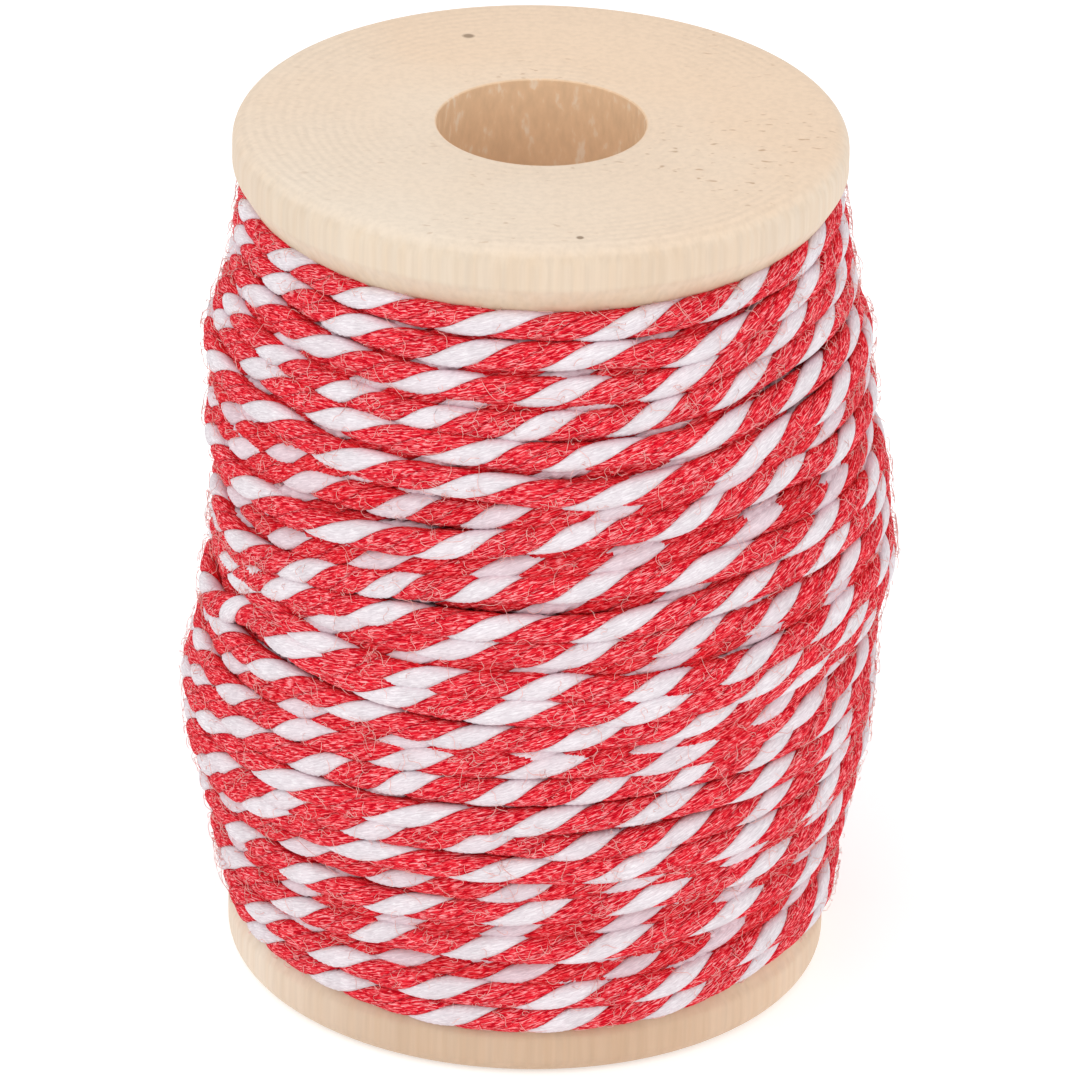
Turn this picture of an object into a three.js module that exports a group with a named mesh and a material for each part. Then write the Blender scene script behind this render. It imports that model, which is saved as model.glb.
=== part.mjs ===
// A turned wooden spool, standing upright, wound full of two-colour cotton twine.
// Millimetres, +Z up, the spool's foot on z = 0 and its axis on Z. The front is -Y.
import * as THREE from "three";

const FLANGE_DIAMETER = 44.5;
const SPOOL_HEIGHT = 66.4;
const BORE_DIAMETER = 15.1;
const BORE_EDGE = 0.3; // chamfer where the bore meets an end face
const BARREL_DIAMETER = 24;
const BARREL_FILLET = 1.2; // where the barrel runs into a flange
const RIM_ROUND = 0.9; // rounded edge between an end face and the rim
const RIM_STRAIGHT = 2.2; // the upright part of a flange's rim
const BEVEL_HEIGHT = 2.5; // the bevel on the inner side of a flange
const BEVEL_DEPTH = 1.5;
const FLANGE_ROOT = 6.0; // thickness of a flange at the barrel
const SPOOL_SEGMENTS = 72;

const CLEARANCE = 0.35; // between the winding and the wood
const BOTTOM_LIP = { radius: 22.35, height: 3.65 }; // where the winding starts on the lower bevel
const TOP_LIP = { radius: 21.2, height: 60.9 }; // where it ends under the upper bevel
const TURN_COUNT = 27;
const FIRST_TURN = 4.9; // height of the lowest and the highest turn at the front
const LAST_TURN = 59.8;
const CLIMB_LEFT = 1.8; // how far a turn at mid-height climbs from the left to the front
const CLIMB_RIGHT = 1.1; // and from the front to the right
const SIDE_ANGLE = 58; // degrees from the front to that left and right
const GROOVE_DEPTH = 0.8; // from the crest of a turn to the groove beside it
const WINDING_SEGMENTS = 60; // points round one turn

// Radius over the crests of the turns, on four sides, at rising heights.
const WOUND_FORM = [
  { height: 4, left: 22.7, front: 22.7, right: 22.9, back: 22.8 },
  { height: 8, left: 23.2, front: 23.2, right: 23.3, back: 23.3 },
  { height: 12, left: 24.0, front: 23.8, right: 23.9, back: 24.0 },
  { height: 16, left: 24.9, front: 24.6, right: 24.7, back: 24.8 },
  { height: 20.5, left: 25.8, front: 25.3, right: 25.5, back: 25.4 },
  { height: 25, left: 25.1, front: 25.5, right: 25.6, back: 25.6 },
  { height: 30, left: 24.1, front: 25.4, right: 26.0, back: 25.5 },
  { height: 35, left: 23.7, front: 25.1, right: 26.5, back: 25.3 },
  { height: 40, left: 23.8, front: 24.8, right: 25.8, back: 25.1 },
  { height: 45, left: 24.4, front: 24.6, right: 24.9, back: 24.8 },
  { height: 49.5, left: 24.2, front: 24.2, right: 24.6, back: 24.3 },
  { height: 53, left: 23.0, front: 23.2, right: 23.4, back: 23.2 },
  { height: 57, left: 22.3, front: 22.4, right: 22.7, back: 22.4 },
  { height: 62, left: 21.4, front: 21.5, right: 21.7, back: 21.6 },
];

// The half section of the wood on one side of mid-height, from the bore's edge to the barrel.
// Distances run inward from the end face, so both ends share it.
function flangeSection() {
  const bore = BORE_DIAMETER / 2;
  const rim = FLANGE_DIAMETER / 2;
  const barrel = BARREL_DIAMETER / 2;
  const bevelStart = RIM_ROUND + RIM_STRAIGHT;
  const section = new THREE.Path();
  section.moveTo(bore, BORE_EDGE);
  section.lineTo(bore + BORE_EDGE, 0);
  section.lineTo(rim - RIM_ROUND, 0);
  section.absarc(rim - RIM_ROUND, RIM_ROUND, RIM_ROUND, -Math.PI / 2, 0, false);
  section.lineTo(rim, bevelStart);
  section.lineTo(rim - BEVEL_DEPTH, bevelStart + BEVEL_HEIGHT);
  section.lineTo(barrel + BARREL_FILLET, FLANGE_ROOT);
  section.quadraticCurveTo(barrel, FLANGE_ROOT, barrel, FLANGE_ROOT + BARREL_FILLET);
  return section.getPoints(4);
}

function spoolGeometry() {
  const bottom = flangeSection();
  const top = bottom.map((p) => new THREE.Vector2(p.x, SPOOL_HEIGHT - p.y)).reverse();
  const outline = [...bottom, ...top, bottom[0]];
  return new THREE.LatheGeometry(outline, SPOOL_SEGMENTS).rotateX(Math.PI / 2);
}

// A smooth curve through rising places and their values, flat past both ends.
function smoothThrough(places, values) {
  const last = places.length - 1;
  const slope = places.map((_, i) => {
    const before = Math.max(i - 1, 0);
    const after = Math.min(i + 1, last);
    return (values[after] - values[before]) / (places[after] - places[before]);
  });
  return (place) => {
    if (place <= places[0]) return values[0];
    if (place >= places[last]) return values[last];
    const i = places.findIndex((p) => p > place) - 1;
    const span = places[i + 1] - places[i];
    const t = (place - places[i]) / span;
    const ease = t * t * (3 - 2 * t);
    const leave = t * (1 - t) * (1 - t) * span * slope[i];
    const arrive = t * t * (t - 1) * span * slope[i + 1];
    return values[i] + (values[i + 1] - values[i]) * ease + leave + arrive;
  };
}

// Angles run from the left (0) by the front (90) and the right (180) to the back (270).
function pointAt(angle, radius, height) {
  return [-radius * Math.cos(angle), -radius * Math.sin(angle), height];
}

function woundRadius() {
  const heights = WOUND_FORM.map((row) => row.height);
  const side = (name) => smoothThrough(heights, WOUND_FORM.map((row) => row[name]));
  const left = side("left");
  const front = side("front");
  const right = side("right");
  const back = side("back");
  return (angle, height) => {
    const [l, f, r, b] = [left(height), front(height), right(height), back(height)];
    const mean = (l + f + r + b) / 4;
    const across = ((l - r) / 2) * Math.cos(angle);
    const along = ((f - b) / 2) * Math.sin(angle);
    const oval = ((l - f + r - b) / 4) * Math.cos(2 * angle);
    return mean + across + along + oval;
  };
}

// Height of the one long crest that climbs the winding, by turns from its start at the left.
// A turn lies level beside a flange and leans most at mid-height.
function crestHeight() {
  const places = [];
  const heights = [];
  for (let turn = 0; turn < TURN_COUNT; turn += 1) {
    const rise = turn / (TURN_COUNT - 1);
    const front = THREE.MathUtils.lerp(FIRST_TURN, LAST_TURN, rise);
    const lean = Math.sin(Math.PI * rise) ** 2;
    places.push(turn + (90 - SIDE_ANGLE) / 360, turn + 90 / 360, turn + (90 + SIDE_ANGLE) / 360);
    heights.push(front - CLIMB_LEFT * lean, front, front + CLIMB_RIGHT * lean);
  }
  return smoothThrough(places, heights);
}

// The wall of the winding that faces the wood, from the bottom lip inward and up to the top lip.
function innerWall() {
  const bevelFoot = FLANGE_DIAMETER / 2 - BEVEL_DEPTH + CLEARANCE / 2;
  const bevelEnd = RIM_ROUND + RIM_STRAIGHT + BEVEL_HEIGHT + CLEARANCE;
  const barrel = BARREL_DIAMETER / 2 + CLEARANCE;
  const root = FLANGE_ROOT + CLEARANCE;
  const corner = [
    { radius: bevelFoot, height: bevelEnd },
    { radius: barrel + BARREL_FILLET, height: root },
    { radius: barrel, height: root + BARREL_FILLET },
  ];
  const above = corner.map((p) => ({ radius: p.radius, height: SPOOL_HEIGHT - p.height })).reverse();
  return [BOTTOM_LIP, ...corner, ...above, TOP_LIP];
}

// Fills the strip between two columns of points, both read from the bottom up, with faces out.
function zip(points, faces, left, right) {
  let i = 0;
  let k = 0;
  const heightOf = (column, at) => (at < column.length ? points[column[at]][2] : Infinity);
  while (i < left.length - 1 || k < right.length - 1) {
    if (heightOf(left, i + 1) < heightOf(right, k + 1)) {
      faces.push([left[i], right[k], left[i + 1]]);
      i += 1;
    } else {
      faces.push([left[i], right[k], right[k + 1]]);
      k += 1;
    }
  }
}

// One closed solid: a crest and a groove climb it as one helix from the bottom lip to the top lip,
// and the wall towards the wood closes it.
function windingGeometry() {
  const points = [];
  const faces = [];
  const round = WINDING_SEGMENTS;
  const climb = TURN_COUNT * round;
  const angleOf = (step) => (step / round) * 2 * Math.PI;
  const add = (step, radius, height) => points.push(pointAt(angleOf(step), radius, height)) - 1;

  const radiusAt = woundRadius();
  const heightAt = crestHeight();
  const crest = [];
  const groove = [];
  for (let step = 0; step <= climb + round; step += 1) {
    const above = step <= climb ? heightAt(step / round) : TOP_LIP.height;
    const below = step >= round ? heightAt(step / round - 1) : BOTTOM_LIP.height;
    const middle = (above + below) / 2;
    groove.push(add(step, radiusAt(angleOf(step), middle) - GROOVE_DEPTH, middle));
    if (step <= climb) crest.push(add(step, radiusAt(angleOf(step), above), above));
  }

  const rings = innerWall().map((p) =>
    Array.from({ length: round }, (_, j) => add(j, p.radius, p.height)),
  );
  const columns = Array.from({ length: round }, (_, j) => {
    const climbing = [];
    for (let step = j; step < groove.length; step += round) {
      climbing.push(groove[step]);
      if (step < crest.length) climbing.push(crest[step]);
    }
    return [rings[0][j], ...climbing, rings[rings.length - 1][j]];
  });

  for (let j = 0; j < round; j += 1) {
    const next = (j + 1) % round;
    zip(points, faces, columns[j], columns[next]);
    for (let i = 0; i < rings.length - 1; i += 1) {
      faces.push([rings[i][j], rings[i + 1][j], rings[i + 1][next]]);
      faces.push([rings[i][j], rings[i + 1][next], rings[i][next]]);
    }
  }
  const geometry = new THREE.BufferGeometry();
  geometry.setAttribute("position", new THREE.Float32BufferAttribute(points.flat(), 3));
  geometry.setIndex(faces.flat());
  geometry.computeVertexNormals();
  return geometry;
}

const wood = new THREE.MeshStandardMaterial({ color: 0xe6caaf, roughness: 0.6, metalness: 0 });
const twine = new THREE.MeshStandardMaterial({ color: 0xda4a55, roughness: 0.9, metalness: 0 });

function named(name, geometry, material) {
  const mesh = new THREE.Mesh(geometry, material);
  mesh.name = name;
  return mesh;
}

const group = new THREE.Group();
group.name = "spool_of_twine";
group.add(named("spool", spoolGeometry(), wood));
group.add(named("winding", windingGeometry(), twine));

export default group;
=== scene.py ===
"""A turned wooden spool wound full of red and white cotton twine, built on its CAD frame."""

import math

import bpy
import numpy as np
from bpy.props import FloatProperty, FloatVectorProperty, IntProperty, PointerProperty
from mathutils import Matrix, Vector


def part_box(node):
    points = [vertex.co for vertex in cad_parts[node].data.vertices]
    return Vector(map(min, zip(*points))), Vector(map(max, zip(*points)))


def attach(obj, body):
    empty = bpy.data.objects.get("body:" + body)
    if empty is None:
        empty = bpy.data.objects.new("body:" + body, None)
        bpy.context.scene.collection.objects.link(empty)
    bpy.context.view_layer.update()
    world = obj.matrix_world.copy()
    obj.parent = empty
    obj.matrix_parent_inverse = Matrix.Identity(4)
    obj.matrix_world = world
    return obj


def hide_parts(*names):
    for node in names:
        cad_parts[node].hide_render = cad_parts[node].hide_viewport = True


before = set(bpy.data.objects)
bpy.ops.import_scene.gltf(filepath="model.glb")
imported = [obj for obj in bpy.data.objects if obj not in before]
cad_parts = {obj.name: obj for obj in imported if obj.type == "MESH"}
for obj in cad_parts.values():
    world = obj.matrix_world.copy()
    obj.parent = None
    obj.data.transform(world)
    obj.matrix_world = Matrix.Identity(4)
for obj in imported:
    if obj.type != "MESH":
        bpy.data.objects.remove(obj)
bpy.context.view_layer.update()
SPOOL_LOW, SPOOL_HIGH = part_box("spool")

bl_info = {
    "name": "Spool of cotton twine",
    "version": (1, 0, 0),
    "blender": (4, 5, 0),
    "location": "View3D > Sidebar > Twine",
    "description": "Builds a turned wooden spool wound full of two-colour cotton twine",
    "category": "Add Mesh",
}

MM = 0.001
TAU = 2 * math.pi

# The twine's section. Wound twine is pressed a little flat: its share out from the spool and up.
FLATNESS = (0.82, 1.08)
WHITE_HALF = 69.0  # half the angle that the white ply takes round the twine, in degrees
GROOVE = 0.8  # share of the radius at the grooves beside the white ply
WHITE_SWELL = 0.25  # how far the white ply and the red ones swell over that
RED_SWELL = 0.2
RED_SHOULDER = 0.45  # the red swell is full from this share of a red ply's width
RED_MEETING = 0.07  # how far the red plies sink where they meet
PLY_CORE = 0.1  # share of the radius at which the plies end inside the twine
PLY_SEAM = 0.4  # degrees that a ply keeps from its neighbours
FIBRE_TWIST = 0.6  # the fibre lines twist by this share of the twine's own twist
# The plies are painted in shade, darker and redder, as they turn away from the outside.
SHELTER_FROM = 0.62  # cosine of the turn from the outside at which shelter starts
SHELTER_SPAN = 0.9  # and the span over which it becomes full

# The under layer is a regular winding that runs down from its first height. Lengths in mm.
UNDER_TURNS = 25
UNDER_START = 59.2
UNDER_FALL = 52.0
UNDER_LEAN = 0.5
# The under layer's cover sets how far it is painted in shade.
UNDER_COVER = 0.55  # how far the outer turns shelter it, from 0 to 1
UNDER_STEP = 1.0  # from ring to ring of points along the strand

# How an outer turn lies. Lengths in mm, spans in half degrees.
OUTER_STEP = 0.46  # from ring to ring of points along the strand
PRESSED = 0.12  # how far a taut turn presses into what it rests on
TAUT_SPAN = 14  # over which a taut turn bridges a dip
TAUT_ROUNDS = 6  # how often that is worked out
TURN_SPAN = 6  # over which a turn and then the whole strand are smoothed
STRAND_SPAN = 9
BELOW = (0.45, 0.75)  # how far it may lie below the wound form, and how much more if it is sunk
ABOVE = (0.1, 0.85)  # how far it may stand above the wound form, and how much less if it is sunk
# A sunk turn's cover sets how far it is painted in shade.
SUNK_COVER = 0.5  # how far its neighbours shelter a sunk turn, from 0 to 1
COVER_SPAN = 40  # over which that changes from turn to turn
WANDER = ((0.08, 17.3, 0), (0.06, 41.7, 1))  # waves of a hand-wound turn: size, pitch, start
TUCK_DEPTH = 1.2  # how far both ends go under their neighbours
TUCK_ANGLE = 25  # and over how many degrees

# Options of a node that lays a colour over another, tints one by another, or multiplies. A Mix node
# takes the share as input 0 and the two colours as inputs 6 and 7. A MapRange node takes a value,
# the ends of its range and the ends of the wanted range, which are 0 and 1 if they are left out.
OVER = {"data_type": "RGBA"}
TINT = {"data_type": "RGBA", "blend_type": "MULTIPLY"}
TIMES = {"operation": "MULTIPLY"}

# Casts and fixed tones, as sRGB hex.
WOOD_SIDE_SHADE = "f6f4f1"
WOOD_FOOT_SHADE = "e2d4c7"
WOOD_LIP_SHADE = "f6eee5"
WOOD_STREAK = "fcf9f5"
WOOD_PORE = "a9825e"
WOOD_KNOT = "7d664f"
BORE_FLECK = "eed8bf"
RED_SHADE_CAST = "f59292"
WHITE_SHADE_CAST = "f3cbd3"

# Knots on the top face: place in mm, half-width across and along in mm, strength.
KNOTS = ((-5.5, 15.1, 0.5, 0.42, 0.75), (2.9, -19.8, 0.3, 0.3, 0.8))

# Radius in mm over the crests of the turns, at rising heights: height, left, front, right, back.
WOUND_FORM = (
    (4, 22.7, 22.7, 22.9, 22.8),
    (8, 23.2, 23.2, 23.3, 23.3),
    (12, 24.0, 23.8, 23.9, 24.0),
    (16, 24.9, 24.6, 24.7, 24.8),
    (20.5, 25.8, 25.3, 25.5, 25.4),
    (25, 25.1, 25.5, 25.6, 25.6),
    (30, 24.1, 25.4, 26.0, 25.5),
    (35, 23.7, 25.1, 26.5, 25.3),
    (40, 23.8, 24.8, 25.8, 25.1),
    (45, 24.4, 24.6, 24.9, 24.8),
    (49.5, 24.2, 24.2, 24.6, 24.3),
    (53, 23.0, 23.2, 23.4, 23.2),
    (57, 22.3, 22.4, 22.7, 22.4),
    (62, 21.4, 21.5, 21.7, 21.6),
)

# The turns of the outer layer from the bottom up, read one by one. The first number says how far a
# turn is sunk between its neighbours, from 0 to 1, or raised if below 0. Then come the places where
# its white ply faces out: degrees right of the front, and height in mm. A third number marks a
# place with no white ply. The last turn is tucked away under the upper flange.
OUTER_TURNS = (
    (0.0, (-37, 5.3), (-13, 4.8), (9, 4.8), (31, 4.9), (51, 5.6)),
    (0.0, (-58, 7.6), (-37, 7.4), (-16, 6.9), (7, 6.8), (29, 6.9), (50, 7.7)),
    (0.9, (-45, 8.9), (-23, 8.8), (-1, 8.7), (21, 8.8), (40, 9.3)),
    (0.0, (-46, 10.3), (-27, 11.0), (-8, 11.1), (14, 11.0), (40, 11.8)),
    (0.8, (-66, 12.2), (-44, 12.4), (-22, 12.6), (-2, 12.8), (20, 13.2), (41, 13.4), (62, 13.3)),
    (0.0, (-60, 14.3), (-43, 13.9), (-22, 14.0), (1, 14.6), (22, 15.3), (46, 15.3), (67, 15.0)),
    (0.5, (-63, 16.1), (-41, 16.5), (-22, 16.4), (-1, 16.4), (20, 16.9), (42, 16.9), (64, 17.1)),
    (0.0, (-70, 18.0), (-50, 18.7), (-28, 18.4), (-4, 18.3), (18, 18.2), (40, 18.4), (60, 18.6)),
    (0.2, (-63, 19.7), (-45, 20.1), (-26, 20.2), (-7, 20.7), (9, 20.2), (26, 20.4), (44, 20.7),
     (64, 20.9)),
    (0.0, (-68, 21.9), (-45, 21.7), (-19, 22.2), (2, 22.6), (22, 23.0), (43, 22.9), (63, 22.9)),
    (0.1, (-58, 23.7), (-37, 24.3), (-21, 24.7), (-4, 24.8), (12, 25.0), (27, 25.2), (43, 25.2),
     (62, 25.0)),
    (0.2, (-62, 25.4), (-43, 25.9), (-20, 26.4), (3, 27.0), (24, 26.8), (52, 27.1)),
    (0.6, (-64, 27.3), (-43, 27.5), (-21, 27.8), (0, 27.8), (20, 27.8), (45, 28.4), (63, 29.6)),
    (0.0, (-72, 29.0), (-52, 29.3), (-30, 29.4), (-11, 29.0), (9, 29.4), (30, 29.5), (52, 30.7)),
    (-0.3, (-79, 29.6, 0), (-65, 31.6), (-57, 32.5, 0), (-47, 32.0), (-22, 31.3), (-4, 31.3),
     (19, 31.3), (42, 31.6), (63, 32.5)),
    (0.0, (-60, 34.0, 0), (-41, 33.1), (-20, 32.9), (2, 33.4), (20, 32.9), (37, 33.1), (57, 33.8)),
    (0.9, (-40, 34.4), (-20, 34.6), (2, 34.6), (25, 34.7), (43, 35.2), (60, 35.3)),
    (0.2, (-35, 35.6), (-13, 35.6), (8, 35.8), (27, 36.4), (43, 36.6), (61, 37.1)),
    (0.0, (-70, 34.4), (-50, 35.9), (-27, 37.2), (-7, 37.7), (14, 38.0), (37, 38.9), (57, 39.2)),
    (0.0, (-66, 36.8), (-44, 38.3), (-25, 39.7), (-9, 40.6), (9, 40.9), (28, 41.2), (54, 41.1)),
    (0.7, (-69, 39.8), (-50, 39.9), (-28, 41.2), (-5, 42.1), (15, 42.5), (41, 43.3), (62, 42.9)),
    (0.0, (-60, 42.5), (-34, 42.9), (-13, 43.8), (6, 45.0), (27, 45.4), (46, 46.4), (64, 45.7)),
    (0.6, (-63, 44.8), (-43, 45.5), (-23, 46.0), (-7, 46.2), (14, 46.6), (36, 47.4), (62, 48.0)),
    (0.9, (-69, 46.6), (-50, 46.8), (-30, 48.2, 0), (-11, 48.4, 0), (14, 48.0, 0), (41, 49.1, 0)),
    (0.0, (-55, 49.4), (-34, 48.6), (-11, 48.5), (14, 48.0), (41, 49.2), (63, 50.0)),
    (0.0, (-60, 51.6), (-37, 51.2), (-10, 51.0), (8, 50.9), (33, 51.1), (54, 52.1)),
    (0.0, (-56, 53.4), (-38, 53.2), (-20, 52.9), (0, 52.9), (20, 53.1), (39, 53.9), (62, 54.7)),
    (0.8, (-53, 54.7), (-33, 53.9), (-12, 54.3), (12, 54.4), (34, 54.8)),
    (0.1, (-67, 56.0), (-44, 55.6), (-20, 55.4), (4, 55.5), (26, 55.4), (52, 56.4)),
    (0.0, (-58, 58.5), (-38, 58.1), (-14, 57.8), (9, 57.9), (33, 57.3), (58, 58.5)),
    (0.0, (-57, 60.4), (-36, 60.1), (-10, 60.0), (17, 60.0), (41, 60.4), (64, 60.8)),
    (1.0, (-90, 61.0, 0), (90, 61.3, 0)),
)


def linear(colour):
    """A colour written as sRGB hex, as linear RGBA."""
    parts = [int(colour[i : i + 2], 16) / 255 for i in (0, 2, 4)]
    return [p / 12.92 if p <= 0.04045 else ((p + 0.055) / 1.055) ** 2.4 for p in parts] + [1.0]


def colour_property(name, description, colour):
    """A colour setting whose default is written as sRGB hex."""
    return FloatVectorProperty(
        name=name,
        description=description,
        default=linear(colour)[:3],
        min=0.0,
        max=1.0,
        subtype="COLOR",
    )


def length_property(name, description, size):
    """A length setting whose default is in metres."""
    return FloatProperty(name=name, description=description, default=size, unit="LENGTH")


class SpoolSettings(bpy.types.PropertyGroup):
    """Sizes and colours of the turned wood."""

    flange_diameter: length_property(
        "Flange diameter", "Across either flange", SPOOL_HIGH[0] - SPOOL_LOW[0]
    )
    height: length_property("Height", "From end face to end face", SPOOL_HIGH[2] - SPOOL_LOW[2])
    bore_diameter: length_property("Bore", "Diameter of the bore", 15.1 * MM)
    barrel_diameter: length_property("Barrel", "Diameter of the barrel", 24 * MM)
    rim_round: length_property("Rim round", "Rounded edge of a rim", 1.5 * MM)
    rim_height: length_property("Rim height", "End face to the bevel", 3.1 * MM)
    bevel_height: length_property("Bevel height", "Height of the inner bevel", 2.5 * MM)
    bevel_depth: length_property("Bevel depth", "Depth of the inner bevel", 1.5 * MM)
    flange_root: length_property("Flange root", "Flange at the barrel", 6.0 * MM)
    pale_wood: colour_property("Pale wood", "The paler side of the wood", "e7d7c4")
    warm_wood: colour_property("Warm wood", "The warmer side of the wood", "e7cbaf")
    # Painted shade: the deeper, redder tone of the inside of the bore.
    shaded_bore_wood: colour_property("Bore", "The wood inside the bore", "e8c5a0")


class TwineSettings(bpy.types.PropertyGroup):
    """Sizes and colours of the twine and of its loose fibres."""

    diameter: length_property("Diameter", "Across the twine", 2.12 * MM)
    lead: length_property("Lead", "Length of one full twist", 8.9 * MM)
    layer_drop: length_property("Layer drop", "From the outer crests to those under them", 0.6 * MM)
    fibre_count: IntProperty(
        name="Stray fibres", description="How many fibres stand off the twine", default=5000
    )
    fibre_diameter: length_property("Fibre diameter", "Across a stray fibre", 0.047 * MM)
    seed: IntProperty(name="Seed", description="Seed of the scatter of stray fibres", default=7)
    red: colour_property("Red", "Dye of the red plies", "ea0e28")
    red_light: colour_property("Red lights", "Red fibres that catch the light", "ffa6a9")
    white: colour_property("White", "The white ply", "e5dce1")
    white_light: colour_property("White lights", "White fibres that catch the light", "f2edf0")
    fibre: colour_property("Fibre", "Stray fibres", "fdcfc9")


class StageSettings(bpy.types.PropertyGroup):
    """The camera."""

    camera_place: FloatVectorProperty(
        name="Camera place",
        description="Where the camera stands",
        default=(0.00054, -0.6213, 0.3441),
        subtype="TRANSLATION",
    )
    camera_pitch: FloatProperty(
        name="Pitch",
        description="How far it looks down",
        default=math.radians(26.62),
        subtype="ANGLE",
    )
    camera_roll: FloatProperty(
        name="Roll", description="How far it leans", default=math.radians(1.22), subtype="ANGLE"
    )
    focal_length: FloatProperty(
        name="Focal length", description="In mm, on a 36 mm sensor", default=314.83
    )


def new_material(name):
    """An empty node material and its node tree."""
    material = bpy.data.materials.new(name)
    material.use_nodes = True
    material.node_tree.nodes.clear()
    return material, material.node_tree


def add_node(tree, kind, inputs=(), stops=(), **settings):
    """Adds a node, sets its options and the stops of its ramp, and fills or links its inputs, which
    are given by name or in their order. A node among them is linked by its first output in use."""
    node = tree.nodes.new("ShaderNode" + kind)
    for key, value in settings.items():
        setattr(node, key, value)
    for key, value in inputs.items() if isinstance(inputs, dict) else enumerate(inputs):
        if isinstance(value, bpy.types.Node):
            value = next(socket for socket in value.outputs if socket.enabled)
        if isinstance(value, bpy.types.NodeSocket):
            tree.links.new(value, node.inputs[key])
        else:
            node.inputs[key].default_value = value
    if stops:
        elements = node.color_ramp.elements
        while len(elements) < len(stops):
            elements.new(0.5)
        for element, (place, colour) in zip(elements, stops):
            element.position = place
            element.color = colour
    return node


def grey(value):
    return [value, value, value, 1.0]


def wood_material(spool):
    """Bare turned birch: pale and smooth, with faint fine rings round the bore, a few small brown
    pores on the end faces and upright grain on the rims. Painted shade darkens the side rims, the
    foot and the lip by the twine, and gives the inside of the bore a deeper, redder tone."""
    material, tree = new_material("turned birch")
    pale, warm = [*spool.pale_wood, 1.0], [*spool.warm_wood, 1.0]
    place = add_node(tree, "TexCoord").outputs["Object"]
    x, y, z = add_node(tree, "SeparateXYZ", (place,)).outputs
    normal = add_node(tree, "NewGeometry").outputs["Normal"]
    facing = add_node(tree, "SeparateXYZ", (normal,)).outputs["Z"]
    flat = add_node(tree, "Math", (facing,), operation="ABSOLUTE")
    edge = add_node(tree, "MapRange", (flat, 0.5, 0.95, 1.0, 0.0))
    end_face = add_node(tree, "MapRange", (flat, 0.9, 0.99))
    # The heart side, right and back, is warmer than the other; slow drift about 15 mm across.
    drift = add_node(tree, "TexNoise", {"Vector": place, "Scale": 65.0, "Detail": 2.0})
    across = add_node(tree, "Math", (x, y), operation="ADD")
    heart = add_node(tree, "MapRange", (across, -0.03, 0.025, -0.3, 0.8))
    heart = add_node(tree, "Math", (heart, drift), operation="ADD", use_clamp=True)
    heart = add_node(tree, "Math", (heart, 0.2), operation="SUBTRACT", use_clamp=True)
    base = add_node(tree, "Mix", {0: heart, 6: pale, 7: warm}, **OVER)
    # Painted shade: the upper rim and bevel, which face sideways, are painted a shade darker than
    # the end faces, most of all at the front.
    high = add_node(tree, "MapRange", (z, 0.02, 0.04))
    near = add_node(tree, "MapRange", (y, -0.02, -0.005, 1.0, 0.3))
    upper_rim = add_node(tree, "Math", (edge, high), **TIMES)
    side_shade = add_node(tree, "Math", (upper_rim, near), **TIMES)
    base = add_node(tree, "Mix", {0: side_shade, 6: base, 7: linear(WOOD_SIDE_SHADE)}, **TINT)
    # Painted light on the right: there the upper rim is painted back to the pale tone, which lifts
    # its painted shade and the warm tone.
    right = add_node(tree, "MapRange", (x, 0.005, 0.018, 0.0, 0.7))
    right_rim_light = add_node(tree, "Math", (upper_rim, right), **TIMES)
    base = add_node(tree, "Mix", {0: right_rim_light, 6: base, 7: pale}, **OVER)
    # Painted shade under the winding's overhang: the foot is painted a little darker, most of all
    # at the front.
    foot = add_node(tree, "MapRange", (z, 0.004, 0.012, 1.0, 0.0))
    front = add_node(tree, "MapRange", (y, -0.021, -0.01, 1.0, 0.0))
    foot_shade = add_node(tree, "Math", (foot, front), **TIMES)
    base = add_node(tree, "Mix", {0: foot_shade, 6: base, 7: linear(WOOD_FOOT_SHADE)}, **TINT)
    # Turned rings 0.65 mm apart, strong in some parts of the face and gone in others.
    wave = {"Vector": place, "Scale": 440.0, "Distortion": 2.2, "Detail": 2.0, "Detail Scale": 0.35}
    rings = add_node(tree, "TexWave", wave, wave_type="RINGS", rings_direction="Z").outputs["Fac"]
    ring_tone = add_node(tree, "ValToRGB", (rings,), [(0.1, grey(0.955)), (0.8, grey(1.0))])
    shown = add_node(tree, "TexNoise", {"Vector": place, "Scale": 48.0, "Detail": 1.0})
    shown = add_node(tree, "ValToRGB", (shown,), [(0.45, grey(0.0)), (0.62, grey(1.0))])
    base = add_node(tree, "Mix", {0: shown, 6: base, 7: ring_tone}, **TINT)
    # Painted shade where the twine meets the wood: the lip that bears on the twine is painted
    # darker and warmer, down to the line where they meet.
    lip = add_node(tree, "MapRange", (z, spool.height - 3.4 * MM, spool.height - 5.4 * MM))
    lip_shade = add_node(tree, "Math", (lip, high), **TIMES)
    base = add_node(tree, "Mix", {0: lip_shade, 6: base, 7: linear(WOOD_LIP_SHADE)}, **TINT)
    # Faint upright streaks, under 1 mm wide, on the rims and bevels.
    tall = add_node(tree, "Mapping", {"Vector": place, "Scale": (1.0, 1.0, 0.06)})
    streaks = add_node(tree, "TexNoise", {"Vector": tall, "Scale": 1300.0, "Detail": 3.0})
    stops = [(0.34, linear(WOOD_STREAK)), (0.6, grey(1.0))]
    streak_tone = add_node(tree, "ValToRGB", (streaks,), stops)
    base = add_node(tree, "Mix", {0: edge, 6: base, 7: streak_tone}, **TINT)
    # Grain drawn out along the axis: a fine mottle on the end faces, upright lines on the rims.
    along = add_node(tree, "Mapping", {"Vector": place, "Scale": (1.0, 1.0, 0.05)})
    grain = add_node(tree, "TexNoise", {"Vector": along, "Scale": 2300.0, "Detail": 3.0})
    grain_tone = add_node(tree, "ValToRGB", (grain,), [(0.3, grey(0.925)), (0.62, grey(1.0))])
    base = add_node(tree, "Mix", {0: 1.0, 6: base, 7: grain_tone}, **TINT)
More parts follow.
